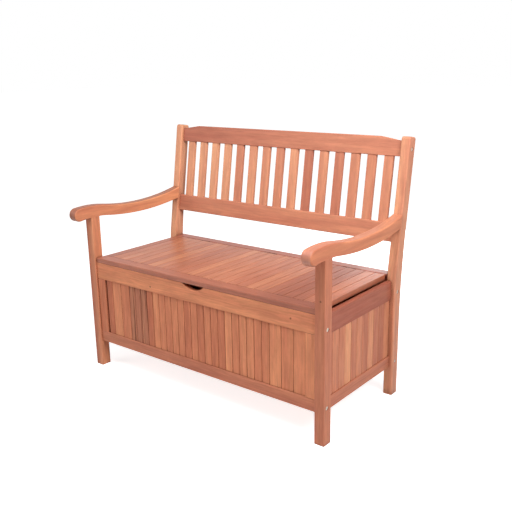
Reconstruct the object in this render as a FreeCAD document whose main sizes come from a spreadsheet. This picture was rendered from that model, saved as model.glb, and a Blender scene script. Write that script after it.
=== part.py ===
import FreeCAD, Part
import math
import os
import re

import Sketcher
from FreeCAD import Placement, Rotation, Vector

# Garden storage bench in oiled hardwood: two side frames, front and rear panels, a slatted backrest
# and a seat whose slatted lid lifts on three butt hinges.
# Frame: origin on the floor under the middle of the bench, +X to the sitter's left, seen from the front
# to the right, +Y to the back, +Z up, millimetres.

SIZES = {
    # whole bench
    "bench_width": 1100,
    "overall_depth": 638.4,
    "seat_height": 450,
    # legs and posts of the side frames
    "leg_width": 37,
    "leg_depth": 40,
    "post_width": 35,
    "post_depth": 42,
    "post_top_depth": 43,
    "post_distance": 447,
    "post_height": 924.5,
    "post_top_round": 9,
    "post_edge_round": 5.5,
    "rake_angle": 8.7,
    "bend_height": 440,
    "bend_radius": 600,
    "rear_bend_radius": 2200,
    # armrests
    "arm_width": 38,
    "arm_seat": 610.5,
    "arm_end": 616,
    "arm_crest": 656.5,
    "arm_crest_radius": 456,
    "arm_dip": 250,
    "arm_dip_radius": 1000,
    "arm_under_radius": 1175,
    "nose_overhang": 76,
    "nose_radius": 25,
    "arm_round": 6,
    # rails and boards of the box
    "rail_thickness": 20,
    "panel_inset": 7.5,
    "top_rail_height": 66,
    "bottom_rail_base": 105,
    "bottom_rail_height": 44,
    "stile_width": 40,
    "end_inset": 15,
    "end_gap": 2.5,
    "end_top_drop": 4.5,
    "tenon_length": 12,
    "tenon_thickness": 10,
    "tenon_shoulder": 8,
    "board_thickness": 10,
    "board_inset": 4,
    "board_gap": 1,
    "board_bevel": 1.6,
    "tongue_length": 5,
    "tongue_thickness": 3,
    "tongue_play": 0.25,
    "groove_depth": 8,
    "groove_play": 2,
    "strip_width": 31.8,
    "notch_radius": 74,
    "notch_depth": 20,
    "edge_round": 2.5,
    # backrest
    "back_inset": 12,
    "back_lower_base": 125,
    "back_lower_height": 66.5,
    "back_top_base": 421,
    "back_top_height": 66.5,
    "back_end_height": 53.5,
    "back_crank": 431,
    "slat_width": 36,
    "slat_thickness": 14,
    "slat_pitch": 66.8,
    "slat_round": 3,
    "slat_tenon": 10,
    "slat_tenon_width": 28,
    "slat_tenon_thickness": 8,
    # seat and lid
    "lid_thickness": 18,
    "lid_width": 1019,
    "lid_inset": 7,
    "lid_rest_gap": 0.3,
    "lid_front_depth": 47,
    "lid_slat_gap": 1.2,
    "lid_slat_round": 1.5,
    "seam": 4.4,
    "seam_round": 3,
    "rear_board_depth": 43,
    "rear_board_overhang": 9,
    "rear_board_gap": 3,
    "batten_width": 44,
    "batten_height": 20,
    "batten_length": 960,
    # hinges
    "axis_depth": 3,
    "hinge_length": 60,
    "leaf_thickness": 1.5,
    "leaf_drop": 14,
    "knuckle_radius": 2.8,
    "knuckle_gap": 0.3,
    "knuckle_room": 0.6,
    "pin_radius": 1.5,
    "pin_play": 0.05,
    "neck_drop": 1.7,
    "screw_drop": 8.5,
    "screw_radius": 1.4,
    "screw_head": 2.8,
    "screw_length": 16,
    # floor of the box
    "cleat_size": 20,
    "cleat_lift": 3,
    "floor_thickness": 10,
    "floor_play": 2,
    # bolts, barrel nuts and dowels
    "bolt_radius": 4,
    "bolt_play": 0.25,
    "bolt_head": 6.5,
    "bolt_head_length": 8,
    "bolt_length": 70,
    "bolt_recess": 2,
    "bolt_lift": 23,
    "socket_radius": 2.89,
    "socket_depth": 4,
    "nut_radius": 5,
    "nut_length": 14,
    "nut_inset": 33,
    "dowel_radius": 5,
    "dowel_half": 20,
    "pin_dowel_radius": 4,
}

SLATS = 15
LID_SLATS = 26
HINGE_SEAMS = (4, 13, 22)
END_BOARDS = 11
REAR_BOARDS = 20
DOWEL_LIFTS = (0.25, 0.75)
FLOOR_BOARDS = 10
SEAT_DOWELS = (-450, -150, 150, 450)
WIDE = 1.5
FRONT_BOARDS = [1] + 2 * [WIDE] + 21 * [1] + 3 * [WIDE]
SIDES = {"left": -1, "right": 1}

# Places worked out from the driving sizes, as expressions in the names above.
HALF = "bench_width / 2"
LEG_INNER = "(bench_width / 2 - leg_width)"
POST_INNER = "(bench_width / 2 - post_width)"
LEG_FRONT = "(nose_overhang - overall_depth / 2)"
POST_FRONT = f"({LEG_FRONT} + post_distance)"
POST_BACK = f"({POST_FRONT} + post_depth)"
FRONT_PANEL = f"({LEG_FRONT} + panel_inset)"
REAR_PANEL = f"({POST_FRONT} + (post_depth - rail_thickness) / 2)"
LID_UNDER = "(seat_height - lid_thickness)"
TOP_RAIL_BASE = f"({LID_UNDER} - lid_rest_gap - top_rail_height)"
REAR_RAIL_BASE = f"({LID_UNDER} - top_rail_height)"
BOTTOM_RAIL_TOP = "(bottom_rail_base + bottom_rail_height)"
END_RAIL_BASE = f"({TOP_RAIL_BASE} - end_top_drop)"
END_RAIL_HEIGHT = f"({LID_UNDER} - end_gap - {END_RAIL_BASE})"
END_LENGTH = "(post_distance - leg_depth)"
END_INNER = "(bench_width / 2 - end_inset - rail_thickness)"
SEAM_BACK = f"({POST_BACK} + rear_board_overhang - rear_board_depth)"
HINGE_Y = f"({SEAM_BACK} - seam / 2)"
HINGE_Z = "(seat_height - axis_depth)"
LID_BACK = f"({SEAM_BACK} - seam)"
LID_FRONT = f"({LEG_FRONT} + lid_inset)"
LID_PITCH = f"(lid_width / {LID_SLATS})"
BOLT_HEAD_BASE = "(bench_width / 2 - bolt_recess - bolt_head_length)"
NUT_X = f"({LEG_INNER} - nut_inset)"
TOP_BOLT_Z = f"({TOP_RAIL_BASE} + bolt_lift)"
LOW_BOLT_Z = "(bottom_rail_base + bottom_rail_height / 2)"
BACK_MIDDLE = "(back_inset + rail_thickness / 2)"

X_AXIS = Vector(1, 0, 0)
Y_AXIS = Vector(0, 1, 0)
Z_AXIS = Vector(0, 0, 1)
ALONG_X = Rotation(Y_AXIS, 90)
ALONG_MINUS_X = Rotation(Y_AXIS, -90)
ALONG_Y = Rotation(X_AXIS, -90)
QUARTER_TURN = Rotation(Z_AXIS, 90)

doc = FreeCAD.newDocument("garden_storage_bench")
sheet = doc.addObject("Spreadsheet::Sheet", "Sizes")
for line, (alias, number) in enumerate(SIZES.items(), start=1):
    sheet.set(f"A{line}", alias)
    sheet.set(f"B{line}", str(number))
    sheet.setAlias(f"B{line}", alias)
doc.recompute()

nodes = []


# Binding to the sheet

def linked(text):
    """The expression with each size name pointed at its cell."""
    def cell(match):
        word = match.group(0)
        return f"Sizes.{word}" if word in SIZES else word
    return re.sub(r"[a-z][a-z_]*", cell, text)


def bind(thing, **expressions):
    for name, text in expressions.items():
        thing.setExpression(name, linked(text))


def place(thing, x, y, z):
    for axis, text in zip("xyz", (x, y, z)):
        thing.setExpression(f"Placement.Base.{axis}", linked(text))


# Bodies and their features

def new_body(label, x, y, z, turn=None):
    body = doc.addObject("PartDesign::Body", label)
    body.Label = label
    if turn:
        body.Placement = Placement(Vector(), turn)
    place(body, x, y, z)
    return body


def node(body):
    nodes.append(body)
    return body


def group(label, bodies):
    """One node that holds several separate solids."""
    compound = doc.addObject("Part::Compound", label)
    compound.Label = label
    compound.Links = bodies
    return node(compound)


def feature(body, kind, name, x, y, z, turn=None, **sizes):
    part = body.newObject(f"PartDesign::{kind}", f"{body.Name}_{name}")
    if turn:
        part.Placement = Placement(Vector(), turn)
    bind(part, **sizes)
    place(part, x, y, z)
    return part


def add_box(body, name, x, y, z, length, width, height):
    return feature(body, "AdditiveBox", name, x, y, z, Length=length, Width=width, Height=height)


def cut_box(body, name, x, y, z, length, width, height):
    return feature(body, "SubtractiveBox", name, x, y, z, Length=length, Width=width, Height=height)


def add_rod(body, name, x, y, z, turn, radius, length):
    return feature(body, "AdditiveCylinder", name, x, y, z, turn, Radius=radius, Height=length)


def drill(body, name, x, y, z, turn, radius, depth):
    return feature(body, "SubtractiveCylinder", name, x, y, z, turn, Radius=radius, Height=depth)


def dress(body, kind, name, wanted, **sizes):
    """Rounds or bevels the edges of the body's last feature that the test wants."""
    doc.recompute()
    tip = body.Tip
    names = [f"Edge{i}" for i, edge in enumerate(tip.Shape.Edges, start=1) if wanted(edge)]
    part = body.newObject(f"PartDesign::{kind}", f"{body.Name}_{name}")
    part.Base = (tip, names)
    bind(part, **sizes)
    return part


def soften(body, wanted, radius="edge_round", name="round"):
    return dress(body, "Fillet", name, wanted, Radius=radius)


def along(axis):
    """A test for straight edges that run along an axis."""
    def test(edge):
        span = edge.Vertexes[-1].Point - edge.Vertexes[0].Point
        return abs(abs(span.dot(axis)) - edge.Length) < 0.01
    return test


def outward(side, near, far):
    """Low end and length, along X, of a stretch from near to far on one side of the bench."""
    low = near if side > 0 else f"-({far})"
    return low, f"({far}) - ({near})"


def timber(label, x, y, z, length, width, height, grain):
    """A squared length of wood with its long edges softened."""
    body = new_body(label, x, y, z)
    add_box(body, "wood", "0", "0", "0", length, width, height)
    soften(body, along(grain))
    return body


# Sketches

def plane(body, role):
    return next(item for item in body.Origin.OriginFeatures if item.Role == role)


def new_sketch(body, role):
    sketch = body.newObject("Sketcher::SketchObject", f"{body.Name}_outline")
    sketch.AttachmentSupport = [(plane(body, role), "")]
    sketch.MapMode = "FlatFace"
    return sketch


def draw_polygon(sketch, corners):
    points = [Vector(u, v, 0) for u, v in corners]
    for start, end in zip(points, points[1:] + points[:1]):
        sketch.addGeometry(Part.LineSegment(start, end))
    count = len(points)
    for i in range(count):
        sketch.addConstraint(Sketcher.Constraint("Coincident", i, 2, (i + 1) % count, 1))


def dimension(sketch, name, text, *constraint):
    """A constraint whose value follows an expression."""
    index = sketch.addConstraint(Sketcher.Constraint(*constraint))
    sketch.renameConstraint(index, name)
    sketch.setExpression(f"Constraints.{name}", linked(text))


def pad(body, sketch, length, reverse=False):
    part = body.newObject("PartDesign::Pad", f"{body.Name}_pad")
    part.Profile = sketch
    part.Reversed = reverse
    bind(part, Length=length)
    return part


def on_rake(y, z):
    """Post coordinates of a point given square to and up the raked back."""
    behind = f"(({y}) * cos(rake_angle) + ({z}) * sin(rake_angle))"
    height = f"(bend_height + ({z}) * cos(rake_angle) - ({y}) * sin(rake_angle))"
    return behind, height


# Side frames

def bolt_hole(body, side, name, y, z, outer, inner):
    """Through hole with a recess for the bolt's head, on the outer face of a leg or post."""
    low, length = outward(side, inner, outer)
    drill(body, f"{name}_hole", low, y, z, ALONG_X, "bolt_radius + bolt_play", length)
    low, length = outward(side, f"{outer} - bolt_recess - bolt_head_length", outer)
    drill(body, f"{name}_recess", low, y, z, ALONG_X, "bolt_head + 2 * bolt_play", length)


def mortise(body, side, name, y, z, height):
    """Slot for an end rail's tenon; X runs from the bench's middle."""
    near = f"{END_INNER} + (rail_thickness - tenon_thickness) / 2"
    low, length = outward(side, near, f"{near} + tenon_thickness")
    cut_box(body, name, low, y, f"{z} + tenon_shoulder",
            length, "tenon_length", f"{height} - 2 * tenon_shoulder")


def end_mortises(body, side, y):
    mortise(body, side, "top_mortise", y, END_RAIL_BASE, END_RAIL_HEIGHT)
    mortise(body, side, "low_mortise", y, "bottom_rail_base", "bottom_rail_height")


def front_leg(name, side):
    body = new_body(f"front_leg_{name}", "0", LEG_FRONT, "0")
    low, length = outward(side, LEG_INNER, HALF)
    add_box(body, "wood", low, "0", "0", length, "leg_depth", "arm_seat")
    soften(body, along(Z_AXIS))
    bolt_y = "panel_inset + rail_thickness / 2"
    bolt_hole(body, side, "top_bolt", bolt_y, TOP_BOLT_Z, HALF, LEG_INNER)
    bolt_hole(body, side, "low_bolt", bolt_y, LOW_BOLT_Z, HALF, LEG_INNER)
    end_mortises(body, side, "leg_depth - tenon_length")
    centre = f"{side} * (bench_width / 2 - leg_width / 2)"
    drill(body, "dowel_hole", centre, "leg_depth / 2", "arm_seat - dowel_half", None,
          "dowel_radius", "dowel_half")
    return node(body)


def post_outline(body):
    """Side view of a rear post: upright to the bend, raked above it."""
    depth, bend, top = SIZES["post_depth"], SIZES["bend_height"], SIZES["post_height"]
    raked_depth = SIZES["post_top_depth"]
    lean = (top - bend) * math.tan(math.radians(SIZES["rake_angle"]))
    sketch = new_sketch(body, "YZ_Plane")
    draw_polygon(sketch, [(0, 0), (0, bend), (lean, top), (depth + lean, top), (depth, bend), (depth, 0)])
    sketch.addConstraint([
        Sketcher.Constraint("Coincident", 0, 1, -1, 1),
        Sketcher.Constraint("Vertical", 0),
        Sketcher.Constraint("Vertical", 4),
        Sketcher.Constraint("Horizontal", 5),
        Sketcher.Constraint("Perpendicular", 1, 2),
        Sketcher.Constraint("Parallel", 1, 3),
    ])
    upright = math.radians(90 - SIZES["rake_angle"])
    dimension(sketch, "depth", "post_depth", "DistanceX", 0, 1, 4, 2, depth)
    dimension(sketch, "raked_depth", "post_top_depth", "Distance", 2, raked_depth)
    dimension(sketch, "bend", "bend_height", "DistanceY", 0, 1, 0, 2, bend)
    dimension(sketch, "top", "post_height", "DistanceY", 0, 1, 1, 2, top)
    dimension(sketch, "lean", "90 - rake_angle", "Angle", 1, upright)
    return sketch


def soften_post(body):
    """Eases the bend, rounds the crown, then rounds the long edges of both side faces."""
    bend, top, width = SIZES["bend_height"], SIZES["post_height"], SIZES["post_width"]
    middle = SIZES["post_depth"] / 2

    def across(edge, height):
        return along(X_AXIS)(edge) and abs(edge.CenterOfMass.z - height) < middle

    def on_side(edge):
        box = edge.BoundBox
        return min(box.XMax, width - box.XMin) < 0.01 and box.ZMax > 0.01

    soften(body, lambda edge: across(edge, bend) and edge.CenterOfMass.y < middle, "bend_radius", "bend")
    soften(body, lambda edge: across(edge, bend) and edge.CenterOfMass.y > middle,
           "rear_bend_radius", "rear_bend")
    soften(body, lambda edge: across(edge, top), "post_top_round", "crown")
    soften(body, on_side, "post_edge_round", "long_round")


def rear_post(name, side):
    low, _ = outward(side, POST_INNER, HALF)
    body = new_body(f"rear_post_{name}", low, POST_FRONT, "0")
    pad(body, post_outline(body), "post_width")
    soften_post(body)
    middle = f"{REAR_PANEL} - {POST_FRONT} + rail_thickness / 2"
    sunk = "(bolt_recess + bolt_head_length)"
    recess_x = f"post_width - {sunk}" if side > 0 else "0"
    for bolt_name, y, z in (
        ("top_bolt", middle, f"{REAR_RAIL_BASE} + bolt_lift"),
        ("low_bolt", middle, LOW_BOLT_Z),
        ("back_bolt", *on_rake(BACK_MIDDLE, "back_top_base + back_end_height / 2")),
    ):
        drill(body, f"{bolt_name}_hole", "0", y, z, ALONG_X, "bolt_radius + bolt_play", "post_width")
        drill(body, f"{bolt_name}_recess", recess_x, y, z, ALONG_X, "bolt_head + 2 * bolt_play", sunk)
    dowel_x = "0" if side > 0 else "post_width - dowel_half"
    for i, lift in enumerate(DOWEL_LIFTS, start=1):
        y, z = on_rake(BACK_MIDDLE, f"back_lower_base + back_lower_height * {lift}")
        drill(body, f"dowel_hole_{i}", dowel_x, y, z, ALONG_X, "dowel_radius", "dowel_half")
    arm_y, arm_z = arm_dowel_place()
    drill(body, "arm_dowel_hole", "post_width / 2", f"{arm_y} - post_distance - dowel_radius", arm_z, ALONG_Y,
          "dowel_radius", "dowel_half + dowel_radius")
    slot = f"({END_INNER} + (rail_thickness - tenon_thickness) / 2 - {POST_INNER})"
    slot_x = slot if side > 0 else f"post_width - {slot} - tenon_thickness"
    for rail, z, height in (
        ("top", END_RAIL_BASE, END_RAIL_HEIGHT),
        ("low", "bottom_rail_base", "bottom_rail_height"),
    ):
        cut_box(body, f"{rail}_mortise", slot_x, "0", f"{z} + tenon_shoulder",
                "tenon_thickness", "tenon_length", f"{height} - 2 * tenon_shoulder")
    return node(body)


def arm_dowel_place():
    """Front end of the hole in the post for the armrest's dowel, behind the legs' front face."""
    height = "((arm_end + arm_crest) / 2)"
    return f"(post_distance + tan(rake_angle) * ({height} - bend_height))", height


def arc(centre, radius, start, end):
    """An arc that turns anticlockwise from one point to another."""
    first = math.atan2(start.y - centre.y, start.x - centre.x)
    last = math.atan2(end.y - centre.y, end.x - centre.x)
    if last < first:
        last += 2 * math.pi
    return Part.ArcOfCircle(Part.Circle(centre, Z_AXIS, radius), first, last)


def arm_outline(body):
    """Side view of an armrest: round nose, crest over the leg, dip, and a raked end on the post."""
    crest_radius, dip_radius = SIZES["arm_crest_radius"], SIZES["arm_dip_radius"]
    under_radius, nose_radius = SIZES["arm_under_radius"], SIZES["nose_radius"]
    rake = math.tan(math.radians(SIZES["rake_angle"]))
    crest = Vector(0, SIZES["arm_crest"] - crest_radius, 0)
    nose_y = nose_radius - SIZES["nose_overhang"]
    nose = Vector(nose_y, crest.y + math.sqrt((crest_radius - nose_radius) ** 2 - nose_y ** 2), 0)
    reach = crest_radius + dip_radius
    dip = Vector(SIZES["arm_dip"], crest.y + math.sqrt(reach ** 2 - SIZES["arm_dip"] ** 2), 0)
    nose_top = crest + (nose - crest) * (crest_radius / (crest_radius - nose_radius))
    turn = crest + (dip - crest) * (crest_radius / reach)

    def post_face(height):
        return SIZES["post_distance"] + rake * (height - SIZES["bend_height"])

    end_low = Vector(post_face(SIZES["arm_end"]), SIZES["arm_end"], 0)
    end_high = Vector(post_face(SIZES["arm_crest"]), SIZES["arm_crest"], 0)
    seat_back = Vector(SIZES["leg_depth"], SIZES["arm_seat"], 0)
    seat_front = Vector(0, SIZES["arm_seat"], 0)
    under = Vector(dip.x, end_low.y + math.sqrt(under_radius ** 2 - (end_low.x - dip.x) ** 2), 0)
    rise = under.y - seat_back.y
    run = under.x - seat_back.x
    swell_radius = (run ** 2 + rise ** 2 - under_radius ** 2) / (2 * (under_radius - rise))
    swell = seat_back - Vector(0, swell_radius, 0)
    under_turn = swell + (under - swell) * (swell_radius / (swell_radius + under_radius))
    nose_low = nose - Vector(0, nose_radius, 0)

    sketch = new_sketch(body, "YZ_Plane")
    sketch.addGeometry([
        arc(nose, nose_radius, nose_top, nose_low),
        arc(crest, crest_radius, turn, nose_top),
        arc(dip, dip_radius, turn, end_high),
        Part.LineSegment(end_high, end_low),
        arc(under, under_radius, under_turn, end_low),
        arc(swell, swell_radius, under_turn, seat_back),
        Part.LineSegment(seat_back, seat_front),
        Part.LineSegment(seat_front, nose_low),
    ])
    sketch.addConstraint([
        Sketcher.Constraint("Tangent", 0, 1, 1, 2),
        Sketcher.Constraint("Tangent", 1, 1, 2, 1),
        Sketcher.Constraint("Coincident", 2, 2, 3, 1),
        Sketcher.Constraint("Coincident", 3, 2, 4, 2),
        Sketcher.Constraint("Tangent", 4, 1, 5, 1),
        Sketcher.Constraint("Tangent", 5, 2, 6, 1),
        Sketcher.Constraint("Coincident", 6, 2, 7, 1),
        Sketcher.Constraint("Tangent", 7, 2, 0, 2),
        Sketcher.Constraint("Horizontal", 6),
        Sketcher.Constraint("PointOnObject", 1, 3, -2),
        Sketcher.Constraint("PointOnObject", 6, 2, -2),
        Sketcher.Constraint("Vertical", 2, 3, 4, 3),
    ])
    dimension(sketch, "nose", "nose_radius", "Radius", 0, nose_radius)
    dimension(sketch, "crest", "arm_crest_radius", "Radius", 1, crest_radius)
    dimension(sketch, "dip", "arm_dip_radius", "Radius", 2, dip_radius)
    dimension(sketch, "under", "arm_under_radius", "Radius", 4, under_radius)
    dimension(sketch, "crest_height", "arm_crest - arm_crest_radius", "DistanceY", -1, 1, 1, 3, crest.y)
    dimension(sketch, "overhang", "nose_overhang - nose_radius", "DistanceX", 0, 3, -1, 1, -nose_y)
    dimension(sketch, "dip_back", "arm_dip", "DistanceX", -1, 1, 2, 3, dip.x)
    dimension(sketch, "end_height", "arm_end", "DistanceY", -1, 1, 3, 2, end_low.y)
    end_place = "post_distance + tan(rake_angle) * (arm_end - bend_height)"
    dimension(sketch, "end_back", end_place, "DistanceX", -1, 1, 3, 2, end_low.x)
    dimension(sketch, "seat_height", "arm_seat", "DistanceY", -1, 1, 6, 1, seat_back.y)
    dimension(sketch, "seat_back", "leg_depth", "DistanceX", -1, 1, 6, 1, seat_back.x)
    end_angle = math.radians(90 - SIZES["rake_angle"])
    dimension(sketch, "end_lean", "-90 - rake_angle", "Angle", 3, end_angle - math.pi)
    return sketch


def armrest(name, side):
    low, _ = outward(side, "bench_width / 2 - arm_width", HALF)
    body = new_body(f"armrest_{name}", low, LEG_FRONT, "0")
    pad(body, arm_outline(body), "arm_width")
    width = SIZES["arm_width"]
    over_seat = SIZES["arm_seat"] + SIZES["nose_radius"]

    def on_top(edge):
        box = edge.BoundBox
        on_side = min(abs(box.XMax), abs(box.XMin - width)) < 0.01
        return on_side and edge.CenterOfMass.z > over_seat and edge.Length > 2 * width

    soften(body, on_top, "arm_round", "top_round")
    leg_x = "arm_width - leg_width / 2" if side > 0 else "leg_width / 2"
    drill(body, "leg_dowel_hole", leg_x, "leg_depth / 2", "arm_seat", None, "dowel_radius", "dowel_half")
    y, z = arm_dowel_place()
    post_x = "arm_width - post_width / 2" if side > 0 else "post_width / 2"
    drill(body, "post_dowel_hole", post_x, f"{y} - dowel_half", z, ALONG_Y, "dowel_radius", "2 * dowel_half")
    return node(body)


def end_rail(label, side, z, height, groove_z):
    """A rail of the end panel, tenoned into the leg and the post, with a groove for the boards."""
    low, _ = outward(side, END_INNER, f"{END_INNER} + rail_thickness")
    body = new_body(label, low, f"{LEG_FRONT} + leg_depth", z)
    add_box(body, "wood", "0", "0", "0", "rail_thickness", END_LENGTH, height)
    soften(body, along(Y_AXIS))
    inset = "board_inset" if side < 0 else "rail_thickness - board_inset - board_thickness"
    cut_box(body, "groove", inset, "0", groove_z, "board_thickness", END_LENGTH, "groove_depth")
    cheek = "(rail_thickness - tenon_thickness) / 2"
    for tenon, y in (("front_tenon", "-tenon_length"), ("rear_tenon", END_LENGTH)):
        add_box(body, tenon, cheek, y, "tenon_shoulder", "tenon_thickness", "tenon_length",
                f"{height} - 2 * tenon_shoulder")
    return node(body)


BOARD_BASE = f"{BOTTOM_RAIL_TOP} - groove_depth"
BOARD_HEIGHT = f"{TOP_RAIL_BASE} - {BOTTOM_RAIL_TOP} + 2 * groove_depth"


def panel_board(label, x, y, width, height, grooved, tongued, turn=None):
    """One upright board with bevelled edges, a groove in its first edge and a tongue on its last."""
    body = new_body(label, x, y, BOARD_BASE, turn)
    add_box(body, "wood", "0", "0", "0", width, "board_thickness", height)
    dress(body, "Chamfer", "bevel", along(Z_AXIS), Size="board_bevel")
    cheek = "(board_thickness - tongue_thickness) / 2"
    if tongued:
        add_box(body, "tongue", width, cheek, "0", "tongue_length", "tongue_thickness", height)
    if grooved:
        cut_box(body, "groove", "0", f"{cheek} - tongue_play", "0",
                "tongue_length - board_gap + tongue_play", "tongue_thickness + 2 * tongue_play", height)
    return body


def end_boards(name, side):
    pitch = f"({END_LENGTH} / {END_BOARDS})"
    face = f"{HALF} - end_inset - board_inset"
    low, length = outward(side, f"{face} - board_thickness", face)
    height = f"{BOARD_HEIGHT} - end_top_drop"
    boards = []
    for i in range(END_BOARDS):
        y = f"{LEG_FRONT} + leg_depth + {pitch} * {i} + board_gap / 2"
        boards.append(panel_board(f"end_board_{name}_{i + 1:02d}", f"{low} + {length}", y,
                                  f"{pitch} - board_gap", height, i > 0, i < END_BOARDS - 1, QUARTER_TURN))
    return group(f"end_boards_{name}", boards)


def side_frame(name, side):
    front_leg(name, side)
    rear_post(name, side)
    armrest(name, side)
    end_rail(f"end_top_rail_{name}", side, END_RAIL_BASE, END_RAIL_HEIGHT, "0")
    end_rail(f"end_bottom_rail_{name}", side, "bottom_rail_base", "bottom_rail_height",
             "bottom_rail_height - groove_depth")
    end_boards(name, side)


# Front and rear panels

def rail_sockets(body, half_length, z, inner_side):
    """Bolt bores in both ends of a rail, and the cross holes for the barrel nuts."""
    depth = f"(bolt_length - {BOLT_HEAD_BASE} + {half_length} + bolt_radius)"
    deep = "rail_thickness / 2 + nut_length / 2"
    nut_y = "rail_thickness / 2 - nut_length / 2" if inner_side > 0 else "0"
    for name, side in SIDES.items():
        low, length = outward(side, f"{half_length} - {depth}", half_length)
        drill(body, f"bore_{name}", low, "rail_thickness / 2", z, ALONG_X, "bolt_radius + bolt_play", length)
        drill(body, f"nut_hole_{name}", f"{side} * {NUT_X}", nut_y, z, ALONG_Y, "nut_radius", deep)


def panel_rail(label, half_length, y, z, height, inner_side, bolt_z, groove_z, groove_play):
    """A long rail of the front or rear panel; inner_side is the direction of the inside along Y."""
    body = new_body(label, "0", y, z)
    add_box(body, "wood", f"-{half_length}", "0", "0", f"2 * {half_length}", "rail_thickness", height)
    soften(body, along(X_AXIS))
    inset = "board_inset" if inner_side > 0 else "rail_thickness - board_inset - board_thickness"
    groove_y = f"{inset} - {groove_play}" if inner_side > 0 else inset
    cut_box(body, "groove", f"-{half_length}", groove_y, groove_z, f"2 * {half_length}",
            f"board_thickness + {groove_play}", "groove_depth")
    rail_sockets(body, half_length, bolt_z, inner_side)
    return node(body)


def stile(label, side, half_length, y, base, height):
    """A short upright between the rails, with a stub tongue in each groove."""
    low, _ = outward(side, f"{half_length} - stile_width", half_length)
    body = new_body(label, low, y, base)
    add_box(body, "wood", "0", "0", "0", "stile_width", "rail_thickness", height)
    soften(body, along(Z_AXIS))
    return body


def tongues(body, inner_side, height):
    inset = "board_inset" if inner_side > 0 else "rail_thickness - board_inset - board_thickness"
    for name, z in (("foot", "-groove_depth"), ("head", height)):
        add_box(body, name, "0", inset, z, "stile_width", "board_thickness", "groove_depth")
    return node(body)


def front_panel():
    rail = panel_rail("front_top_rail", LEG_INNER, FRONT_PANEL, TOP_RAIL_BASE, "top_rail_height", 1,
                      "bolt_lift", "0", "0")
    drill(rail, "finger_notch", "0", "0", "top_rail_height + notch_radius - notch_depth", ALONG_Y,
          "notch_radius", "rail_thickness")
    panel_rail("front_bottom_rail", LEG_INNER, FRONT_PANEL, "bottom_rail_base", "bottom_rail_height", 1,
               "bottom_rail_height / 2", "bottom_rail_height - groove_depth", "groove_play")
    height = f"{TOP_RAIL_BASE} - {BOTTOM_RAIL_TOP}"
    for name, side in SIDES.items():
        body = stile(f"front_stile_{name}", side, LEG_INNER, FRONT_PANEL, BOTTOM_RAIL_TOP, height)
        tongues(body, 1, height)
    boards = []
    right = f"({LEG_INNER} - stile_width)"
    for i, share in enumerate(FRONT_BOARDS):
        ahead = sum(FRONT_BOARDS[i:])
        boards.append(panel_board(f"front_board_{i + 1:02d}", f"{right} - strip_width * {ahead}",
                                  f"{FRONT_PANEL} + board_inset", f"strip_width * {share} - board_gap",
                                  BOARD_HEIGHT, i > 0, i < len(FRONT_BOARDS) - 1))
    group("front_boards", boards)


def rear_panel():
    panel_rail("rear_top_rail", POST_INNER, REAR_PANEL, REAR_RAIL_BASE, "top_rail_height", -1,
               "bolt_lift", "0", "0")
    panel_rail("rear_bottom_rail", POST_INNER, REAR_PANEL, "bottom_rail_base", "bottom_rail_height", -1,
               "bottom_rail_height / 2", "bottom_rail_height - groove_depth", "0")
    height = f"{REAR_RAIL_BASE} - {BOTTOM_RAIL_TOP}"
    for name, side in SIDES.items():
        body = stile(f"rear_stile_{name}", side, POST_INNER, REAR_PANEL, BOTTOM_RAIL_TOP, height)
        tongues(body, -1, height)
    pitch = f"(2 * ({POST_INNER} - stile_width) / {REAR_BOARDS})"
    y = f"{REAR_PANEL} + rail_thickness - board_inset - board_thickness"
    boards = []
    for i in range(REAR_BOARDS):
        x = f"stile_width - {POST_INNER} + {pitch} * {i} + board_gap / 2"
        boards.append(panel_board(f"rear_board_{i + 1:02d}", x, y, f"{pitch} - board_gap",
                                  f"{height} + 2 * groove_depth", i > 0, i < REAR_BOARDS - 1))
    group("rear_boards", boards)


# Backrest

RAKED = Rotation(Vector(-1, 0, 0), SIZES["rake_angle"])


def raked_body(label, x, y, z):
    """A body whose local Z runs up the raked back and whose local Y points behind it."""
    behind, height = on_rake(y, z)
    body = new_body(label, x, f"{POST_FRONT} + {behind}", height, RAKED)
    bind(body, **{"Placement.Rotation.Angle": "rake_angle"})
    return body


def slat_mortises(body, z):
    first = f"-slat_pitch * {SLATS - 1} / 2 - slat_tenon_width / 2"
    slot = cut_box(body, "slat_mortise", first, "(rail_thickness - slat_tenon_thickness) / 2", z,
                   "slat_tenon_width", "slat_tenon_thickness", "slat_tenon")
    row = body.newObject("PartDesign::LinearPattern", f"{body.Name}_slat_mortises")
    row.Originals = [slot]
    row.Direction = (plane(body, "X_Axis"), [""])
    row.Occurrences = SLATS
    bind(row, Length=f"slat_pitch * {SLATS - 1}")
    body.Tip = row


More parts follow.
